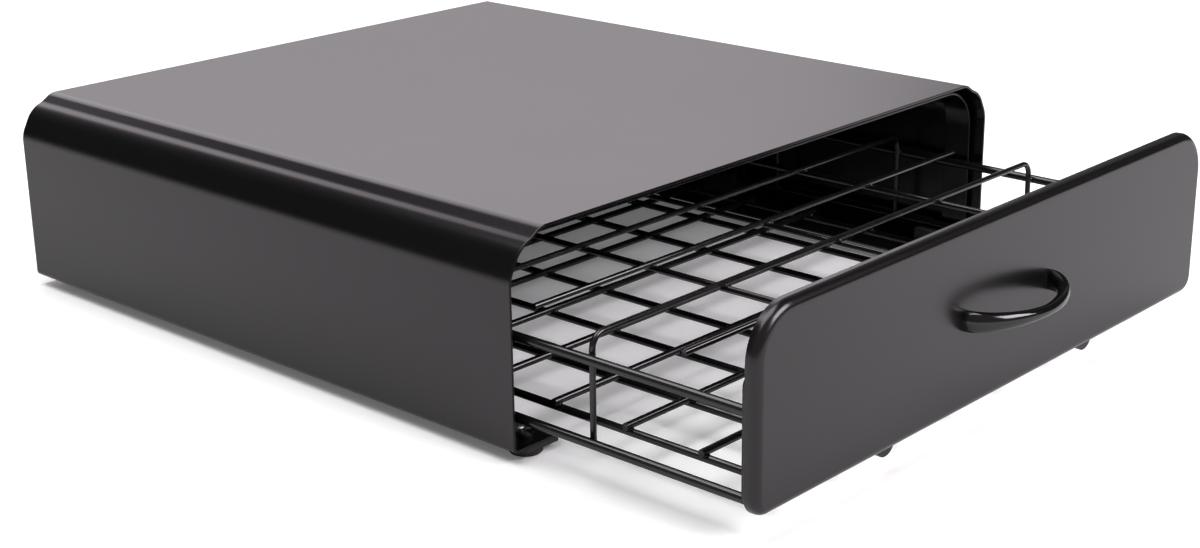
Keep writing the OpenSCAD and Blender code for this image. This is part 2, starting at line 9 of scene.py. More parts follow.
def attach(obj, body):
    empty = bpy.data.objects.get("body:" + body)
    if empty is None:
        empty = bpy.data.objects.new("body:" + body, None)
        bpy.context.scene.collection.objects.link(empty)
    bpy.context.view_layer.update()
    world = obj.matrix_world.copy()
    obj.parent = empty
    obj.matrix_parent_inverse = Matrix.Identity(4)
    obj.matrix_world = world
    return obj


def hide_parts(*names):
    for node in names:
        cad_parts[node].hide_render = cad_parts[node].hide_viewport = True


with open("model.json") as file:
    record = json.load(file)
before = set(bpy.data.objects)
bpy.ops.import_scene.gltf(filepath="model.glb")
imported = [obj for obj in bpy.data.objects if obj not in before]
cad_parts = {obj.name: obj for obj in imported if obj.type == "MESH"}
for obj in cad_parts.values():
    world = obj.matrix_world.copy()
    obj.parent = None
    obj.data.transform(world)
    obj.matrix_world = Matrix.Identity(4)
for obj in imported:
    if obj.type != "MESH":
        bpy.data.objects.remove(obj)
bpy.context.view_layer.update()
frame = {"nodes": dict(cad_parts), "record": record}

MM = 0.001
LEFT, RIGHT = -1, 1
SIDES = (LEFT, RIGHT)

# ---------------------------------------------------------------- sizes, in millimetres
HALF_W = 167.5
SHEET = 1.2
FRONT_Y, REAR_Y = -98.25, 236.75
SHELL_Z, SHELL_TOP = 5.0, 95.0
FLANGE_TOP = SHELL_Z + SHEET
FLANGE_W, FLANGE_CORNER = 30.0, 4.0
# Each flat of a housing corner, from the side wall up: length and slope in degrees
FLATS = ((13.0, 62.0), (7.0, 22.0), (6.5, 33.0))
# Outside radius of each bend, from the flange up
BEND_RADII = (2.5, 12.0, 12.0, 7.5, 7.5)
BACK_INSET, BACK_RIM, BACK_FOLD = 3.0, 8.0, 1.0
BACK_Y = REAR_Y - BACK_INSET - SHEET

FACE_Y = -216.25
PANEL_T = 6.0
PANEL_BACK_Y = FACE_Y + PANEL_T
PANEL_HALF_W, PANEL_Z0, PANEL_Z1 = 164.5, 11.9, 91.0
PANEL_EDGE, PANEL_TOP_R, PANEL_LOW_R, PANEL_RIM = 3.8, 20.5, 8.0, 2.4
PANEL_REAR_EDGE = 0.4
PLATE_T, PLATE_GAP, RECESS_D = 1.15, 0.12, 1.25

HANDLE_LEN, HANDLE_OUT, HANDLE_Z = 71.0, 20.5, 51.5
# Thickness and height of the bow in its middle and at its ends, and how its curve and taper run
HANDLE_MID, HANDLE_END = (4.7, 4.6), (5.8, 9.1)
BOW_CURVE, BOW_TAPER, BOW_STEPS = 1.1, 1.6, 72

STRIP_W, STRIP_T, STRIP_TOP = 12.0, 2.5, 66.5
STRIP_BACK_Y = PANEL_BACK_Y + STRIP_T
STRIPS = {"strip_outer_left": (-156.4, 13.9), "strip_inner_left": (-76.0, 6.0),
          "strip_inner_right": (76.0, 6.0), "strip_outer_right": (156.4, 13.9)}
STRIP_SCREW_ZS = (28.0, 41.2)
SCREW_R = 1.5

ROD_D, WIRE_D, RAIL_D, RUNG_D = 4.0, 2.6, 3.4, 3.2
ROD_X, ROD_BEND, WIRE_BEND, WELD = 159.5, 12.0, 6.0, 0.3
BASKET_D = 310.0
ROD_REAR_Y = PANEL_BACK_Y + BASKET_D
BASE_Z, RIM_Z, HOOP_Z = 17.0, 51.2, 60.2
DIVIDER_Z = HOOP_Z - WIRE_D + WELD
CROSSBAR_Y = STRIP_BACK_Y + ROD_D / 2 - WELD
LEG_X = ROD_X - ROD_D / 2 - WIRE_D / 2 + WELD
WIRE_END_EDGE = 0.25
LANES, RAIL_GAP, RUNGS = 4, 38.0, 7
RUNG_FIRST, RUNG_PITCH, RUNG_OVER, TOP_RUNG_SHORT = 41.0, 38.5, 3.2, 11.0
LANE_PITCH = (2 * LEG_X - WIRE_D) / LANES
RAIL_Z = BASE_Z - ROD_D / 2 - RAIL_D / 2 + WELD
RUNG_Z = RAIL_Z + RAIL_D / 2 + RUNG_D / 2 - WELD
RUNG_HALF = LANE_PITCH * (LANES - 1) / 2 + RAIL_GAP / 2 + RUNG_OVER
TOP_RUNG_HALF = ROD_X - TOP_RUNG_SHORT
RUNG_YS = [PANEL_BACK_Y + RUNG_FIRST + RUNG_PITCH * i for i in range(RUNGS)]
# Half the width of a weld bead, across its seam and along its flat way
NUGGET_R, NUGGET_FLAT_R = 1.55, 1.0
RAIL_XS = [(lane - (LANES - 1) / 2) * LANE_PITCH + side * RAIL_GAP / 2
           for lane in range(LANES) for side in SIDES]
DIVIDER_XS = (-LANE_PITCH, 0.0, LANE_PITCH)

FOOT_H, FOOT_R, FOOT_SCREW_R = 5.0, 7.0, 2.0
FOOT_BORE_R, FOOT_RECESS_R, FOOT_RECESS_H = 2.05, 4.0, 2.5
FOOT_PLATE_W, FOOT_PLATE_D, FOOT_PLATE_T, FOOT_PLATE_R = 19.0, 10.5, 2.2, 1.5
FOOT_SPOTS = {"foot_front": (153.5, -90.75), "foot_rear": (148.5, 214.75)}
NUT_R, NUT_H, NUT_BORE_R = 3.4, 2.0, 2.05
RIVET_SPOT, RIVET_HEAD_R, RIVET_R = (149.7, -83.55), 2.2, 1.2
GLIDE_X, GLIDE_Y, GLIDE_EDGE = (152.9, 162.9), (-85.25, -68.25), 0.35
GLIDE_LIP_W, GLIDE_LIP_H = 0.8, 3.0
TAB_LEN, TAB_W, TAB_T = 6.4, 7.0, 1.0
RUN_GAP = 0.3
SHOE_X, SHOE_Y, SHOE_Z = (153.5, 165.7), (51.75, 73.75), (6.5, 20.5)
SHOE_CHAMFER, FIT_GAP = 1.4, 0.05

# ---------------------------------------------------------------- camera
AZIMUTH = radians(48.06)
ELEVATION = radians(18.83)
ROLL = radians(-0.50)
EYE = (-0.66615, -0.60879, 0.32367)

look = Vector((sin(AZIMUTH) * cos(ELEVATION), cos(AZIMUTH) * cos(ELEVATION), -sin(ELEVATION)))
level_right = Vector((cos(AZIMUTH), -sin(AZIMUTH), 0))
level_up = level_right.cross(look)
right = level_right * cos(ROLL) + level_up * sin(ROLL)
up = level_up * cos(ROLL) - level_right * sin(ROLL)
camera_data = bpy.data.cameras.new("camera")
camera = bpy.data.objects.new("camera", camera_data)
bpy.context.collection.objects.link(camera)
camera.matrix_world = Matrix.Translation(EYE) @ Matrix((right, up, -look)).transposed().to_4x4()
camera_data.sensor_width = 36
camera_data.lens = 59.54
camera_data.shift_x = -0.026
camera_data.shift_y = -0.0026
bpy.context.scene.camera = camera


# ---------------------------------------------------------------- materials
class Value:
    """A shader socket that can be used in Python expressions."""

    def __init__(self, paint, socket):
        self.paint = paint
        self.socket = socket

    def _math(self, operation, a, b):
        return self.paint.node("ShaderNodeMath", {"operation": operation}, {0: a, 1: b})

    def __add__(self, other):
        return self._math("ADD", self, other)

    def __sub__(self, other):
        return self._math("SUBTRACT", self, other)

    def __rsub__(self, other):
        return self._math("SUBTRACT", other, self)

    def __mul__(self, other):
        return self._math("MULTIPLY", self, other)


class Paint:
    """The node tree of one material or of the world."""

    def __init__(self, owner):
        owner.use_nodes = True
        self.owner = owner
        self.tree = owner.node_tree
        self.tree.nodes.clear()

    def node(self, kind, settings=(), inputs=(), out=0):
        n = self.tree.nodes.new(kind)
        for key, value in dict(settings).items():
            if key == "stops":
                self._stops(n.color_ramp, value)
            else:
                setattr(n, key, value)
        for key, value in dict(inputs).items():
            if isinstance(value, Value):
                self.tree.links.new(value.socket, n.inputs[key])
            else:
                n.inputs[key].default_value = value
        return Value(self, n.outputs[out])

    def _stops(self, ramp, stops):
        while len(ramp.elements) < len(stops):
            ramp.elements.new(0.5)
        for element, (position, level) in zip(ramp.elements, stops):
            element.position = position
            element.color = (level, level, level, 1) if isinstance(level, (int, float)) else level

    def place(self):
        return self.node("ShaderNodeTexCoord", out="Object")

    def noise(self, where, scale, detail=2.0, roughness=0.5):
        return self.node("ShaderNodeTexNoise", {"noise_dimensions": "3D"},
                         {"Vector": where, "Scale": scale, "Detail": detail, "Roughness": roughness})

    def ramp(self, value, stops):
        return self.node("ShaderNodeValToRGB", {"stops": stops}, {"Fac": value})

    def mix(self, factor, a, b):
        return self.node("ShaderNodeMix", {"data_type": "RGBA"}, {0: factor, 6: a, 7: b}, out=2)

    def bump(self, height, strength, distance, normal=None):
        inputs = {"Height": height, "Strength": strength, "Distance": distance}
        if normal:
            inputs["Normal"] = normal
        return self.node("ShaderNodeBump", {}, inputs)

    def finish(self, shader, target="ShaderNodeOutputMaterial"):
        out = self.tree.nodes.new(target)
        self.tree.links.new(shader.socket, out.inputs["Surface"])
        return self.owner


def grey(level, tint=(1.0, 0.975, 1.0)):
    return (level * tint[0], level * tint[1], level * tint[2], 1)


def new_paint(name):
    return Paint(bpy.data.materials.new(name))


def powder_coat(name, level, sheen_low, sheen_high, peel):
    """Black powder coat: a fine orange peel, a finer grain in its tone, and a sheen that drifts."""
    p = new_paint(name)
    where = p.place()
    drift = p.noise(where, 7, 2)
    grain = p.noise(where, 2600, 2)
    waves = p.noise(where, 420, 2, 0.45)
    tone = p.mix(grain * 0.6 + drift * 0.4, grey(level * 0.75), grey(level * 1.3))
    sheen = p.ramp(drift, [(0.2, sheen_low), (0.8, sheen_high)])
    relief = p.bump(grain, 0.12, 0.00002, p.bump(waves, peel, 0.00008))
    return p.finish(p.node("ShaderNodeBsdfPrincipled", {}, {
        "Base Color": tone, "Roughness": sheen, "Normal": relief, "IOR": 1.45,
        "Specular Tint": (1.0, 0.945, 0.985, 1)}))


def dip_coat(name, level, gloss_low, gloss_high):
    """Black coating on wire: glossy, with slow sags and small pits."""
    p = new_paint(name)
    where = p.place()
    sags = p.noise(where, 160, 2)
    pits = p.noise(where, 1500, 3)
    tone = p.mix(pits, grey(level * 0.7), grey(level * 1.4))
    gloss = p.ramp(sags, [(0.3, gloss_low), (0.7, gloss_high)])
    relief = p.bump(pits, 0.1, 0.00003, p.bump(sags, 0.3, 0.0002))
    return p.finish(p.node("ShaderNodeBsdfPrincipled", {}, {
        "Base Color": tone, "Roughness": gloss, "Normal": relief, "IOR": 1.5}))


def moulded(name, level, rough_low, rough_high, grain_scale, grain_depth):
    """Moulded rubber or nylon: a fine eroded grain and a little dust in it."""
    p = new_paint(name)
    where = p.place()
    grain = p.noise(where, grain_scale, 4, 0.6)
    dust = p.ramp(p.noise(where, 260, 4, 0.6), [(0.5, 0.0), (0.8, 0.35)])
    tone = p.mix(dust, p.mix(grain, grey(level * 0.7), grey(level * 1.3)), grey(level * 3))
    rough = p.ramp(grain, [(0.3, rough_low), (0.7, rough_high)])
    return p.finish(p.node("ShaderNodeBsdfPrincipled", {}, {
        "Base Color": tone, "Roughness": rough, "Normal": p.bump(grain, 0.5, grain_depth)}))


def zinc_plate(name):
    """Zinc plate: a faint spangle with dull patches."""
    p = new_paint(name)
    where = p.place()
    spangle = p.node("ShaderNodeTexVoronoi", {}, {"Vector": where, "Scale": 900.0}, out="Color")
    patches = p.noise(where, 500, 3)
    tone = p.mix(patches, (0.42, 0.43, 0.46, 1), (0.66, 0.67, 0.68, 1))
    tone = p.mix(0.12, tone, spangle)
    return p.finish(p.node("ShaderNodeBsdfPrincipled", {}, {
        "Base Color": tone, "Metallic": 1.0, "Roughness": p.ramp(patches, [(0.3, 0.25), (0.7, 0.45)]),
        "Normal": p.bump(patches, 0.2, 0.00004)}))


PAINT = {
    "painted_steel": powder_coat("painted_steel", 0.0045, 0.21, 0.25, 0.08),
    "coated_wire": dip_coat("coated_wire", 0.005, 0.14, 0.24),
    "handle_gloss": dip_coat("handle_gloss", 0.004, 0.08, 0.13),
    "rubber": moulded("rubber", 0.02, 0.6, 0.8, 1800, 0.00005),
    "nylon": moulded("nylon", 0.025, 0.38, 0.5, 1200, 0.00003),
    "zinc": zinc_plate("zinc"),
}

# ---------------------------------------------------------------- nodes carried over
SLOT = {entry["node"]: entry["material_slot"] for entry in frame["record"]["subparts"]}
BODY = {node: body for body, nodes in frame["record"]["behaviour"]["bodies"].items() for node in nodes}

for node, slot in SLOT.items():
    mesh = frame["nodes"][node].data
    mesh.materials.clear()
    mesh.materials.append(PAINT[slot])


# ---------------------------------------------------------------- making pieces
def add_piece(bm, name, body, slot, sharp=35):
    """Makes a piece, drawn in millimetres, that rides on a body."""
    bmesh.ops.remove_doubles(bm, verts=bm.verts, dist=0.001)
    bmesh.ops.recalc_face_normals(bm, faces=bm.faces)
    bmesh.ops.scale(bm, vec=(MM, MM, MM), verts=bm.verts)
    mesh = bpy.data.meshes.new(name)
    bm.to_mesh(mesh)
    bm.free()
    mesh.shade_smooth()
    mesh.set_sharp_from_angle(angle=radians(sharp))
    mesh.materials.append(PAINT[slot])
    piece = bpy.data.objects.new(name, mesh)
    bpy.context.collection.objects.link(piece)
    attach(piece, body)
    return piece


def stand_for(bm, name, *nodes, sharp=35):
    """Makes a piece that stands for one or more nodes."""
    piece = add_piece(bm, name, BODY[nodes[0]], SLOT[nodes[0]], sharp)
    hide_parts(*nodes)
    return piece


def gauge(piece, thickness):
    """Gives a sheet its thickness, inwards from its drawn outer face."""
    wall = piece.modifiers.new("gauge", "SOLIDIFY")
    wall.thickness = thickness * MM
    wall.offset = -1
    wall.use_even_offset = True


def break_edges(piece, width, segments=2, angle=40):
    """Rounds the sharp edges a little and keeps the shading of the flats even."""
    rounding = piece.modifiers.new("broken_edges", "BEVEL")
    rounding.width = width * MM
    rounding.segments = segments
    rounding.limit_method = "ANGLE"
    rounding.angle_limit = radians(angle)
    even = piece.modifiers.new("even_normals", "WEIGHTED_NORMAL")
    even.keep_sharp = True
    return piece


def near(a, b):
    return abs(a - b) < 0.01


def verts_of(made):
    return [g for g in made if isinstance(g, bmesh.types.BMVert)]


def edges_among(verts):
    return list({e for v in verts for e in v.link_edges if e.other_vert(v) in verts})


def edges_where(bm, test):
    return [e for e in bm.edges if all(test(v.co) for v in e.verts)]


def move(bm, verts, x=0.0, y=0.0, z=0.0):
    bmesh.ops.translate(bm, verts=verts, vec=(x, y, z))


def bevel(bm, geom, offset, segments, affect="EDGES"):
    bmesh.ops.bevel(bm, geom=geom, offset=offset, offset_type="OFFSET", segments=segments,
                    profile=0.5, affect=affect, material=-1)


def push(bm, faces, keep=False, **way):
    """Extrudes faces and moves the new ones. A lone face is kept, as the other end of its prism."""
    move(bm, verts_of(bmesh.ops.extrude_face_region(bm, geom=faces)["geom"]), **way)
    if not keep:
        bmesh.ops.delete(bm, geom=faces, context="FACES_ONLY")


def put_in(bm, part, place=Matrix()):
    """Adds a part that was drawn on its own, at its place."""
    bmesh.ops.transform(part, matrix=place, verts=part.verts)
    carrier = bpy.data.meshes.new("carrier")
    part.to_mesh(carrier)
    part.free()
    bm.from_mesh(carrier)
    bpy.data.meshes.remove(carrier)


def block(bm, x, y, z):
    """Rectangular block between two values on each axis."""
    middle = [(a + b) / 2 for a, b in (x, y, z)]
    size = [abs(b - a) for a, b in (x, y, z)]
    place = Matrix.Translation(middle) @ Matrix.Diagonal((*size, 1))
    return bmesh.ops.create_cube(bm, size=1, matrix=place)["verts"]


def blank(x, z, upper_r, lower_r, y):
    """Flat face in X and Z with rounded corners."""
    bm = bmesh.new()
    place = (Matrix.Translation(((x[0] + x[1]) / 2, y, (z[0] + z[1]) / 2))
             @ Matrix.Rotation(radians(90), 4, "X")
             @ Matrix.Diagonal(((x[1] - x[0]) / 2, (z[1] - z[0]) / 2, 1, 1)))
    tips = bmesh.ops.create_grid(bm, x_segments=1, y_segments=1, size=1, matrix=place)["verts"]
    upper = [v for v in tips if near(v.co.z, z[1])]
    lower = [v for v in tips if near(v.co.z, z[0])]
    bevel(bm, upper, upper_r, 14, "VERTICES")
    bevel(bm, lower, lower_r, 14, "VERTICES")
    return bm


def turned(bm, profile, place, steps=40):
    """Adds a profile of radii and heights, spun right round."""
    part = bmesh.new()
    verts = [part.verts.new((radius, 0, height)) for radius, height in profile]
    edges = [part.edges.new(pair) for pair in zip(verts, verts[1:])]
    bmesh.ops.spin(part, geom=verts + edges, cent=(0, 0, 0), axis=(0, 0, 1), dvec=(0, 0, 0),
                   angle=2 * pi, steps=steps, use_merge=True, use_duplicate=False)
    put_in(bm, part, place)


def bent_wire(bm, diameter, stops, bend_r=0.0, sides=20):
    """Round wire from stop to stop, spun round a bend at each inner one. Its cut ends are broken."""
    stops = [Vector(stop) for stop in stops]
    at, way = stops[0], (stops[1] - stops[0]).normalized()
    place = Matrix.Translation(at) @ way.to_track_quat("Z", "Y").to_matrix().to_4x4()
    verts = bmesh.ops.create_circle(bm, cap_ends=False, segments=sides, radius=diameter / 2,
                                    matrix=place)["verts"]
    ends = [edges_among(verts)]
    rim = ends[0]
    for stop, after in zip(stops[1:], stops[2:] + [None]):
        onward = (after - stop).normalized() if after else way
        turn = way.angle(onward)
        back = bend_r * tan(turn / 2)
        verts = verts_of(bmesh.ops.extrude_edge_only(bm, edges=rim)["geom"])
        bmesh.ops.translate(bm, verts=verts, vec=stop - way * back - at)
        rim = edges_among(verts)
        if after:
            side = (onward - way * onward.dot(way)).normalized()
            made = bmesh.ops.spin(
                bm, geom=verts + rim, cent=stop - way * back + side * bend_r,
                axis=way.cross(onward), dvec=(0, 0, 0), angle=turn, steps=8,
                use_merge=False, use_duplicate=False)["geom_last"]
            rim = edges_among(verts_of(made))
            at, way = stop + onward * back, onward
    ends.append(rim)
    for end in ends:
        cap = bmesh.ops.edgeloop_fill(bm, edges=end)["faces"][0]
        bevel(bm, list(cap.edges), WIRE_END_EDGE, 2)


def pan_head(bm, place, shank_r):
    """Adds a pan head with a cross recess, its seat at height 0."""
    head_r, head_h = 2 * shank_r, 1.1 * shank_r
    arm = 0.13 * head_r
    part = bmesh.new()
    bmesh.ops.create_grid(part, x_segments=3, y_segments=3, size=3 * arm,
                          matrix=Matrix.Translation((0, 0, 0.25 * head_h)))
    tips = [f for f in part.faces if min(abs(c) for c in f.calc_center_median().xy) > arm]
    bmesh.ops.delete(part, geom=tips, context="FACES")
    bmesh.ops.subdivide_edges(part, edges=[e for e in part.edges if e.is_boundary], cuts=1)
    walls = verts_of(bmesh.ops.extrude_edge_only(
        part, edges=[e for e in part.edges if e.is_boundary])["geom"])
    move(part, walls, z=0.72 * head_h)
    bmesh.ops.scale(part, verts=walls, vec=(1.5, 1.5, 1))
    mouth = edges_among(walls)
    ring = bmesh.ops.create_circle(part, cap_ends=False, segments=24, radius=0.68 * head_r,
                                   matrix=Matrix.Translation((0, 0, 0.97 * head_h)))["verts"]
    rim = edges_among(ring)
    bmesh.ops.bridge_loops(part, edges=mouth + rim)
    radius, height = 0.68, 0.97
    for radius_after, height_after in ((0.86, 0.86), (0.96, 0.64), (1.0, 0.4), (0.98, 0.0)):
        ring = verts_of(bmesh.ops.extrude_edge_only(part, edges=rim)["geom"])
        bmesh.ops.scale(part, verts=ring, vec=(radius_after / radius, radius_after / radius, 1))
        move(part, ring, z=(height_after - height) * head_h)
        rim = edges_among(ring)
        radius, height = radius_after, height_after
    bmesh.ops.edgeloop_fill(part, edges=rim)
    put_in(bm, part, place)


# ---------------------------------------------------------------- housing
def housing_corners():
    """Corners of the housing's right half, from the bottom bend up, and the turn at each."""
    points = [(HALF_W, SHELL_Z)]
    rises = [(-length * cos(radians(slope)), length * sin(radians(slope))) for length, slope in FLATS]
    points.append((HALF_W, SHELL_TOP - sum(rise for _, rise in rises)))
    for run, rise in rises:
        points.append((points[-1][0] + run, points[-1][1] + rise))
    slopes = [180, 90] + [slope for _, slope in FLATS] + [0]
    return [(x, z, radians(abs(b - a))) for (x, z), a, b in zip(points, slopes, slopes[1:])]


CORNERS = housing_corners()


def housing_outline():
    """The housing's corner points all round, without its bends."""
    half = [(x, z) for x, z, _ in CORNERS]
    return half + [(-x, z) for x, z in reversed(half)]


def housing_sheet():
    """One sheet, drawn flat by flat from the right flange to the left, then rounded at its bends."""
    inner = HALF_W - FLANGE_W
    bm = bmesh.new()
    edge = bm.edges.new([bm.verts.new((inner, y, SHELL_Z)) for y in (FRONT_Y, REAR_Y)])
    at = (inner, SHELL_Z)
    for stop in housing_outline() + [(-inner, SHELL_Z)]:
        verts = verts_of(bmesh.ops.extrude_edge_only(bm, edges=[edge])["geom"])
        move(bm, verts, x=stop[0] - at[0], z=stop[1] - at[1])
        edge = edges_among(verts)[0]
        at = stop
    for (x, z, turn), radius in zip(CORNERS, BEND_RADII):
        bends = edges_where(bm, lambda co: near(abs(co.x), x) and near(co.z, z))
        bevel(bm, bends, radius * tan(turn / 2), 12)
    tips = [v for v in bm.verts if near(abs(v.co.x), inner) and near(v.co.z, SHELL_Z)]
    bevel(bm, tips, FLANGE_CORNER, 8, "VERTICES")
    piece = stand_for(bm, "housing_sheet", "housing_shell", sharp=50)
    gauge(piece, SHEET)
    break_edges(piece, 0.22, angle=60)


def back_pan():
    """Pan that closes the back, its rim folded forwards inside the housing."""
    bm = bmesh.new()
    bm.faces.new([bm.verts.new((x, BACK_Y + SHEET, z)) for x, z in housing_outline()])
    for (x, z, turn), radius in zip(CORNERS, BEND_RADII):
        tips = [v for v in bm.verts if near(abs(v.co.x), x) and near(v.co.z, z)]
        bevel(bm, tips, radius * tan(turn / 2), 8, "VERTICES")
    ring = bmesh.ops.inset_region(bm, faces=bm.faces[:], thickness=SHEET, use_boundary=True,
                                  use_even_offset=True)
    bmesh.ops.delete(bm, geom=ring["faces"], context="FACES")
    fold = bm.edges[:]
    move(bm, verts_of(bmesh.ops.extrude_edge_only(bm, edges=fold)["geom"]), y=-BACK_RIM - SHEET)
    bevel(bm, fold, BACK_FOLD, 4)
    piece = stand_for(bm, "back_pan", "back_panel", sharp=50)
    gauge(piece, SHEET)
    break_edges(piece, 0.2, angle=60)


def frame_liner():
    """Angle-section frame behind the opening, as the node has it, with its cut edges broken."""
    bm = bmesh.new()
    bm.from_mesh(frame["nodes"]["opening_frame"].data)
    bmesh.ops.remove_doubles(bm, verts=bm.verts, dist=2e-6)
    bmesh.ops.scale(bm, vec=(1 / MM, 1 / MM, 1 / MM), verts=bm.verts)
    flats = [e for e in bm.edges if e.is_manifold and e.calc_face_angle(0) < radians(1)]
    bmesh.ops.dissolve_edges(bm, edges=flats, use_verts=False)
    break_edges(stand_for(bm, "frame_liner", "opening_frame"), 0.25)


def clinch_nuts():
    """Round nuts that are pressed into the flanges over the feet, and painted with them."""
    bm = bmesh.new()
    edge, mouth = 0.4, 0.45
    barrel = [(NUT_BORE_R, 0), (NUT_R, 0), (NUT_R, NUT_H - edge), (NUT_R - edge, NUT_H),
              (NUT_BORE_R + mouth, NUT_H), (NUT_BORE_R, NUT_H - mouth), (NUT_BORE_R, 0)]
    for x, y in FOOT_SPOTS.values():
        for side in SIDES:
            turned(bm, barrel, Matrix.Translation((side * x, y, FLANGE_TOP)), 32)
    stand_for(bm, "clinch_nuts", "foot_nuts")


def rubber_foot(name, side):
    """Round foot with a screw recess. A front foot has a plate that spreads it under the flange."""
    x, y = FOOT_SPOTS[name.rsplit("_", 1)[0]]
    bore, recess, deep, edge = FOOT_BORE_R, FOOT_RECESS_R, FOOT_RECESS_H, 0.3
    bm = bmesh.new()
    turned(bm, [(bore, deep), (recess - edge, deep), (recess, deep - edge), (recess, edge),
                (recess + edge, 0), (FOOT_R - 1.1, 0), (FOOT_R - 0.5, 0.2), (FOOT_R - 0.1, 0.8),
                (FOOT_R, 1.4), (FOOT_R, FOOT_H - 0.2), (FOOT_R - 0.2, FOOT_H), (bore, FOOT_H),
                (bore, deep)],
           Matrix.Translation((side * x, y, 0)), 48)
    if "front" in name:
        plate = bmesh.new()
        low = FOOT_H - FOOT_PLATE_T
        block(plate, (side * (x + FOOT_R), side * (x + FOOT_R - FOOT_PLATE_W)),
              (FRONT_Y, FRONT_Y + FOOT_PLATE_D), (low, FOOT_H))
        bevel(plate, [e for e in plate.edges if near(e.verts[0].co.x, e.verts[1].co.x)
                      and near(e.verts[0].co.y, e.verts[1].co.y)], FOOT_PLATE_R, 5)
        bevel(plate, edges_where(plate, lambda co: near(co.z, low)), edge, 2)
        put_in(bm, plate)
    stand_for(bm, name + "_moulding", name)


def foot_screws():
    """Screws from below, their heads sunk in the feet and their ends inside the nuts."""
    bm = bmesh.new()
    for x, y in FOOT_SPOTS.values():
        for side in SIDES:
            pan_head(bm, Matrix.Translation((side * x, y, FOOT_RECESS_H))
                     @ Matrix.Rotation(pi, 4, "X"), 0.85 * FOOT_SCREW_R)
            start, end = FOOT_RECESS_H - 0.3, FLANGE_TOP + NUT_H - 0.6
            turned(bm, [(0, start), (FOOT_SCREW_R, start), (FOOT_SCREW_R, end - 0.3),
                        (FOOT_SCREW_R - 0.4, end), (0, end)],
                   Matrix.Translation((side * x, y, 0)), 32)
    stand_for(bm, "foot_screws_sunk", "foot_screws")


def front_glide(side):
    """Nylon block under the base rod, its lip outside the rod and its tab riveted down."""
    x0, x1 = (side * x for x in GLIDE_X)
    top = BASE_Z - ROD_D / 2 - RUN_GAP
    bm = bmesh.new()
    block(bm, (x0, x1), GLIDE_Y, (FLANGE_TOP, top))
    bmesh.ops.bisect_plane(bm, geom=bm.verts[:] + bm.edges[:] + bm.faces[:], dist=0.001,
                           plane_co=(x1 - side * GLIDE_LIP_W, 0, 0), plane_no=(1, 0, 0))
    lip = [f for f in bm.faces if near(f.calc_center_median().z, top)
           and near(f.calc_center_median().x, x1 - side * GLIDE_LIP_W / 2)]
    push(bm, lip, z=GLIDE_LIP_H)
    tab = bmesh.new()
    block(tab, (side * (GLIDE_X[0] - TAB_LEN), x0 + side),
          (RIVET_SPOT[1] - TAB_W / 2, RIVET_SPOT[1] + TAB_W / 2), (FLANGE_TOP, FLANGE_TOP + TAB_T))
    put_in(bm, tab)
    name = "front_glide_" + ("left" if side == LEFT else "right")
    break_edges(stand_for(bm, name + "_moulding", name), GLIDE_EDGE, 3)


def glide_rivets():
    """Domed rivet heads on the glides' tabs."""
    bm = bmesh.new()
    for side in SIDES:
        place = Matrix.Translation((side * RIVET_SPOT[0], RIVET_SPOT[1], FLANGE_TOP + TAB_T))
        low = -SHEET - TAB_T
        turned(bm, [(0, low), (RIVET_R, low), (RIVET_R, 0), (RIVET_HEAD_R, 0),
                    (RIVET_HEAD_R, 0.15), (1.9, 0.5), (1.3, 0.76), (0.6, 0.86), (0, 0.88)], place, 32)
    stand_for(bm, "glide_rivet_heads", "glide_rivets")


# ---------------------------------------------------------------- drawer front
def panel_skin():
    """Front with a soft edge all round, and a recess behind for its closing plate."""
    bm = blank((-PANEL_HALF_W, PANEL_HALF_W), (PANEL_Z0, PANEL_Z1), PANEL_TOP_R, PANEL_LOW_R, FACE_Y)
    push(bm, bm.faces[:], keep=True, y=PANEL_T)
    bevel(bm, edges_where(bm, lambda co: near(co.y, FACE_Y)), PANEL_EDGE, 10)
    rear = [f for f in bm.faces if all(near(v.co.y, PANEL_BACK_Y) for v in f.verts)]
    bevel(bm, list(rear[0].edges), PANEL_REAR_EDGE, 3)
    rear = [f for f in bm.faces if all(near(v.co.y, PANEL_BACK_Y) for v in f.verts)]
    bmesh.ops.inset_region(bm, faces=rear, thickness=PANEL_RIM - PANEL_REAR_EDGE,
                           use_even_offset=True)
    push(bm, rear, y=-RECESS_D)
    even = stand_for(bm, "panel_skin", "front_panel").modifiers.new("even_normals", "WEIGHTED_NORMAL")
    even.keep_sharp = True


def panel_closing_plate():
    """Plate let into the back of the drawer front, with a hairline all round it."""
    rim = PANEL_RIM + PLATE_GAP
    bm = blank((rim - PANEL_HALF_W, PANEL_HALF_W - rim), (PANEL_Z0 + rim, PANEL_Z1 - rim),
               PANEL_TOP_R - rim, PANEL_LOW_R - rim, PANEL_BACK_Y)
    push(bm, bm.faces[:], keep=True, y=-PLATE_T)
    break_edges(stand_for(bm, "panel_closing_plate", "panel_back_plate"), 0.25)


def bow_section(turn):
    """Place of the bow's cross-section: a unit circle laid across the bow and sized to it."""
    reach_x = (HANDLE_LEN - HANDLE_END[0]) / 2
    reach_y = HANDLE_OUT - HANDLE_MID[0] / 2
    c, s = cos(turn), abs(sin(turn))
    sign = 1 if c > 0 else -1
    taper = abs(c) ** BOW_TAPER
    thick, height = (mid + (end - mid) * taper for mid, end in zip(HANDLE_MID, HANDLE_END))
    lean = 2 - BOW_CURVE
    along = Vector((reach_x * s ** lean, -reach_y * sign * abs(c) ** lean, 0)).normalized()
    middle = Vector((-reach_x * sign * abs(c) ** BOW_CURVE, FACE_Y - reach_y * s ** BOW_CURVE,
                     HANDLE_Z))
    across = Vector((along.y, -along.x, 0)) * thick / 2
    section = Matrix((across, (0, 0, height / 2), along)).transposed().to_4x4()
    return Matrix.Translation(middle) @ section


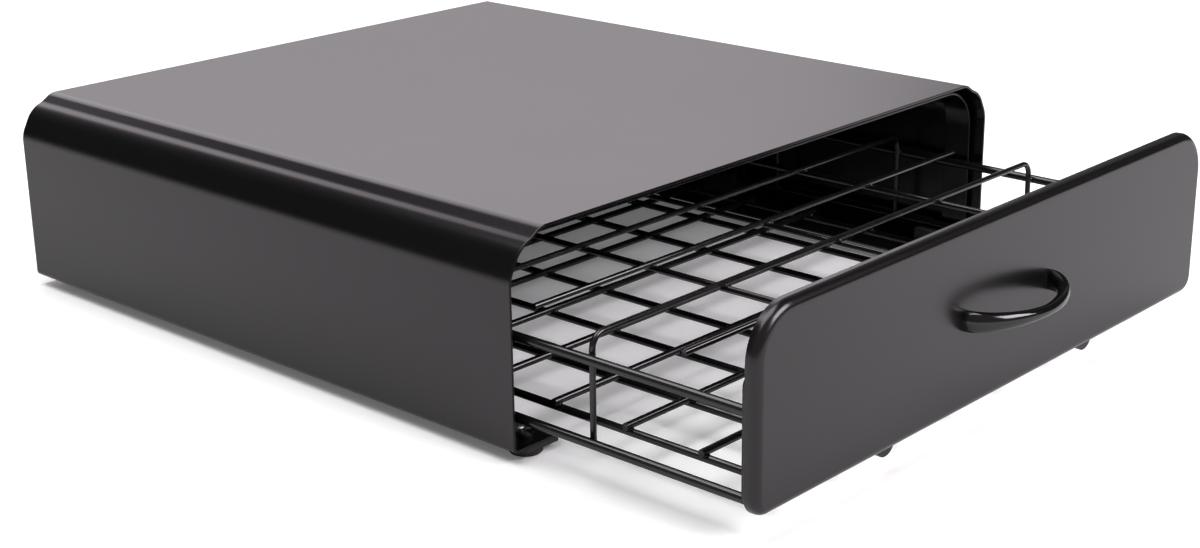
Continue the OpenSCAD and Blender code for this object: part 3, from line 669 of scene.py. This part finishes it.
def bow_handle():
    """Bow handle, its section drawn along nearly half an ellipse from end to end."""
    bm = bmesh.new()
    place = bow_section(0)
    verts = bmesh.ops.create_circle(bm, cap_ends=False, segments=32, radius=1, matrix=place)["verts"]
    ends = [edges_among(verts)]
    rim = ends[0]
    for step in range(1, BOW_STEPS + 1):
        verts = verts_of(bmesh.ops.extrude_edge_only(bm, edges=rim)["geom"])
        after = bow_section(pi * step / BOW_STEPS)
        bmesh.ops.transform(bm, matrix=after @ place.inverted(), verts=verts)
        rim = edges_among(verts)
        place = after
    ends.append(rim)
    for end in ends:
        bmesh.ops.edgeloop_fill(bm, edges=end)
    stand_for(bm, "bow_handle", "handle", sharp=60)


# ---------------------------------------------------------------- mounting strips
def mounting_strip(name):
    """Flat bar with round ends and a rolled edge."""
    x, low = STRIPS[name]
    half = STRIP_W / 2
    bm = blank((x - half, x + half), (low, STRIP_TOP), half - 0.005, half - 0.005, PANEL_BACK_Y)
    push(bm, bm.faces[:], keep=True, y=STRIP_T)
    break_edges(stand_for(bm, name + "_bar", name), 0.5, 3)


def strip_screws():
    bm = bmesh.new()
    for x, _ in STRIPS.values():
        for z in STRIP_SCREW_ZS:
            pan_head(bm, Matrix.Translation((x, STRIP_BACK_Y, z)) @ Matrix.Rotation(-pi / 2, 4, "X"),
                     SCREW_R)
    stand_for(bm, "strip_screw_heads", "strip_screws")


# ---------------------------------------------------------------- wire basket
def u_rod(name, z):
    stops = [(-ROD_X, STRIP_BACK_Y, z), (-ROD_X, ROD_REAR_Y, z), (ROD_X, ROD_REAR_Y, z),
             (ROD_X, STRIP_BACK_Y, z)]
    bm = bmesh.new()
    bent_wire(bm, ROD_D, stops, ROD_BEND, 24)
    stand_for(bm, name + "_wire", name)


def crossbar(name, z):
    end = ROD_X - ROD_D / 2 + WELD
    bm = bmesh.new()
    bent_wire(bm, ROD_D, [(-end, CROSSBAR_Y, z), (end, CROSSBAR_Y, z)], sides=24)
    stand_for(bm, name + "_wire", name)


def lane_rails(lane):
    bm = bmesh.new()
    for x in RAIL_XS[2 * lane - 2:2 * lane]:
        bent_wire(bm, RAIL_D, [(x, PANEL_BACK_Y + STRIP_T / 2, RAIL_Z),
                               (x, ROD_REAR_Y + ROD_D / 2, RAIL_Z)])
    stand_for(bm, f"lane_{lane}_wires", f"lane_{lane}_rails")


def rungs():
    bm = bmesh.new()
    for y in RUNG_YS:
        bent_wire(bm, RUNG_D, [(-RUNG_HALF, y, RUNG_Z), (RUNG_HALF, y, RUNG_Z)])
    stand_for(bm, "bottom_rung_wires", "bottom_rungs")
    bm = bmesh.new()
    for y in RUNG_YS[::2]:
        bent_wire(bm, WIRE_D, [(-TOP_RUNG_HALF, y, HOOP_Z), (TOP_RUNG_HALF, y, HOOP_Z)])
    stand_for(bm, "top_rung_wires", "top_rungs")


def hoop(name, y):
    low = BASE_Z - ROD_D / 2
    bm = bmesh.new()
    bent_wire(bm, WIRE_D, [(-LEG_X, y, low), (-LEG_X, y, HOOP_Z), (LEG_X, y, HOOP_Z),
                           (LEG_X, y, low)], WIRE_BEND)
    stand_for(bm, name + "_wire", name)


def lane_divider(name, x):
    leg = (ROD_D + WIRE_D) / 2 - WELD
    y0, y1, low = CROSSBAR_Y + leg, ROD_REAR_Y - leg, BASE_Z - ROD_D / 2
    bm = bmesh.new()
    bent_wire(bm, WIRE_D, [(x, y0, low), (x, y0, DIVIDER_Z), (x, y1, DIVIDER_Z), (x, y1, low)],
              WIRE_BEND)
    stand_for(bm, name + "_wire", name)


def weld_spots():
    """Where wires cross, with the way in which the weld lies flat."""
    leg = ROD_D / 2
    for y in RUNG_YS:
        for x in RAIL_XS:
            yield x, y, RAIL_Z + RAIL_D / 2 - WELD / 2, "z"
        for x in DIVIDER_XS:
            yield x, y, HOOP_Z - WIRE_D / 2 + WELD / 2, "z"
    for y in (CROSSBAR_Y, ROD_REAR_Y):
        for x in RAIL_XS:
            yield x, y, BASE_Z - leg + WELD / 2, "z"
    for z in (BASE_Z, RIM_Z):
        for x in DIVIDER_XS:
            yield x, CROSSBAR_Y + leg - WELD / 2, z, "y"
            yield x, ROD_REAR_Y - leg + WELD / 2, z, "y"
        for side in SIDES:
            yield side * (ROD_X - leg), CROSSBAR_Y, z, "x"
            for y in RUNG_YS[1::2]:
                yield side * (ROD_X - leg + WELD / 2), y, z, "x"


def weld_nuggets():
    """Small squeezed beads of metal in the corners where two wires are welded."""
    bm = bmesh.new()
    for x, y, z, flat in weld_spots():
        size = [NUGGET_FLAT_R if axis == flat else NUGGET_R for axis in "xyz"]
        place = Matrix.Translation((x, y, z)) @ Matrix.Diagonal((*size, 1))
        bmesh.ops.create_icosphere(bm, subdivisions=2, radius=1, matrix=place)
    add_piece(bm, "weld_nuggets", "drawer", "coated_wire", sharp=180)


def rear_shoe(side):
    """Nylon shoe that snaps over the base rod, its lower ends bevelled to slide."""
    bore, half_slot = ROD_D / 2 + FIT_GAP, 0.4 * ROD_D
    (x0, x1), (y0, y1), (z0, z1) = SHOE_X, SHOE_Y, SHOE_Z
    open_angle = acos(half_slot / bore)
    bm = bmesh.new()
    first = bm.verts.new((ROD_X + half_slot, y0, BASE_Z + bore * sin(open_angle)))
    arc = bmesh.ops.spin(bm, geom=[first], cent=(ROD_X, y0, BASE_Z), axis=(0, 1, 0), dvec=(0, 0, 0),
                         angle=pi + 2 * open_angle, steps=20, use_merge=False, use_duplicate=False)
    last = verts_of(arc["geom_last"])[0]
    outline = [(ROD_X - half_slot, z1), (x0, z1), (x0, z0), (x1, z0), (x1, z1), (ROD_X + half_slot, z1)]
    verts = [last] + [bm.verts.new((x, y0, z)) for x, z in outline] + [first]
    for pair in zip(verts, verts[1:]):
        bm.edges.new(pair)
    push(bm, bmesh.ops.contextual_create(bm, geom=bm.edges[:])["faces"], keep=True, y=y1 - y0)
    ends = [e for e in bm.edges if all(near(v.co.z, z0) for v in e.verts)
            and near(e.verts[0].co.y, e.verts[1].co.y)]
    bevel(bm, ends, SHOE_CHAMFER, 1)
    bmesh.ops.scale(bm, vec=(side, 1, 1), verts=bm.verts)
    name = "rear_shoe_" + ("left" if side == LEFT else "right")
    break_edges(stand_for(bm, name + "_moulding", name), 0.3)


# ---------------------------------------------------------------- the whole drawer unit
housing_sheet()
back_pan()
frame_liner()
clinch_nuts()
for side in SIDES:
    for row in FOOT_SPOTS:
        rubber_foot(row + ("_left" if side == LEFT else "_right"), side)
    front_glide(side)
    rear_shoe(side)
foot_screws()
glide_rivets()
panel_skin()
panel_closing_plate()
bow_handle()
for name in STRIPS:
    mounting_strip(name)
strip_screws()
for name, z in (("rim", RIM_Z), ("base", BASE_Z)):
    u_rod(name + "_rod", z)
    crossbar(name + "_crossbar", z)
for lane in range(1, LANES + 1):
    lane_rails(lane)
rungs()
for name, y in zip(("hoop_front", "hoop_middle", "hoop_rear"), RUNG_YS[1::2]):
    hoop(name, y)
for name, x in zip(("left", "centre", "right"), DIVIDER_XS):
    lane_divider("lane_divider_" + name, x)
weld_nuggets()

# ---------------------------------------------------------------- floor, world and lamps
floor_mesh = bpy.data.meshes.new("floor")
bm = bmesh.new()
bmesh.ops.create_grid(bm, x_segments=1, y_segments=1, size=6)
bm.to_mesh(floor_mesh)
bm.free()
floor = bpy.data.objects.new("floor", floor_mesh)
bpy.context.collection.objects.link(floor)
p = new_paint("floor")
is_camera = p.node("ShaderNodeLightPath", out="Is Camera Ray")
paper = p.mix(is_camera, (0.74, 0.74, 0.74, 1), (1, 1, 1, 1))
lit = p.node("ShaderNodeBsdfDiffuse", {}, {"Color": paper})
# The floor's lift to white grows from 1 m to 2.5 m away, where the lamps no longer reach
away = p.node("ShaderNodeVectorMath", {"operation": "LENGTH"}, {0: p.place()}, out="Value")
lift_level = p.ramp(away * 0.2, [(0.2, 0.1), (0.5, 1.0)])
lift = p.node("ShaderNodeEmission", {}, {"Color": p.mix(is_camera, (0, 0, 0, 1), lift_level)})
floor_mesh.materials.append(p.finish(p.node("ShaderNodeAddShader", {}, {0: lit, 1: lift})))

WALL_STRENGTH = 1.62
world = bpy.data.worlds.new("studio")
bpy.context.scene.world = world
p = Paint(world)
direction = p.node("ShaderNodeTexCoord", out="Generated")
axes = p.node("ShaderNodeSeparateXYZ", {}, {0: direction}).socket.node
x, y, z = (Value(p, axes.outputs[i]) for i in range(3))
# A bright wall behind the object and to its right. It ends sharply on the left, and its top
# slopes down to the right.
rise = p.ramp(z, [(0.0, 0.3), (0.14, 0.32), (0.22, 0.54), (0.34, 1.25), (0.6, 1.5)])
swing = p.ramp(y * 0.5 + x * 0.5 + 0.5, [(0.925, 0.01), (1.02, 1.0)])
lid = p.ramp(z + p.ramp(x - y, [(0.0, 0.0), (1.0, 1.0)]) * 1.5, [(0.68, 1.0), (0.80, 0.08)])
# A dim fill on the camera's own side
fill = p.ramp(y * 0.5 + x * 0.5 + 0.5, [(0.25, 0.27), (0.50, 0.01)])
wall_light = rise * swing * lid * WALL_STRENGTH + fill
is_camera = p.node("ShaderNodeLightPath", out="Is Camera Ray")
strength = is_camera + (1 - is_camera) * wall_light
tint = p.mix(is_camera, (1, 0.94, 0.99, 1), (1, 1, 1, 1))
p.finish(p.node("ShaderNodeBackground", {}, {"Color": tint, "Strength": strength}),
         "ShaderNodeOutputWorld")


def softbox(name, place, aim, width, height, power, tint=(1, 1, 1)):
    data = bpy.data.lights.new(name, "AREA")
    data.color = tint
    data.shape = "RECTANGLE"
    data.size = width
    data.size_y = height
    data.energy = power
    lamp = bpy.data.objects.new(name, data)
    bpy.context.collection.objects.link(lamp)
    lamp.location = place
    lamp.rotation_mode = "QUATERNION"
    lamp.rotation_quaternion = (Vector(aim) - Vector(place)).to_track_quat("-Z", "Y")
    lamp.visible_camera = False


softbox("overhead_softbox", (-0.4, 0.25, 1.9), (0.0, 0.0, 0.0), 1.5, 1.5, 38)
softbox("front_softbox", (0.5, -1.6, 1.2), (0.0, -0.2, 0.05), 1.2, 0.9, 44, (1, 0.96, 1))

bpy.context.scene.view_settings.view_transform = "Standard"
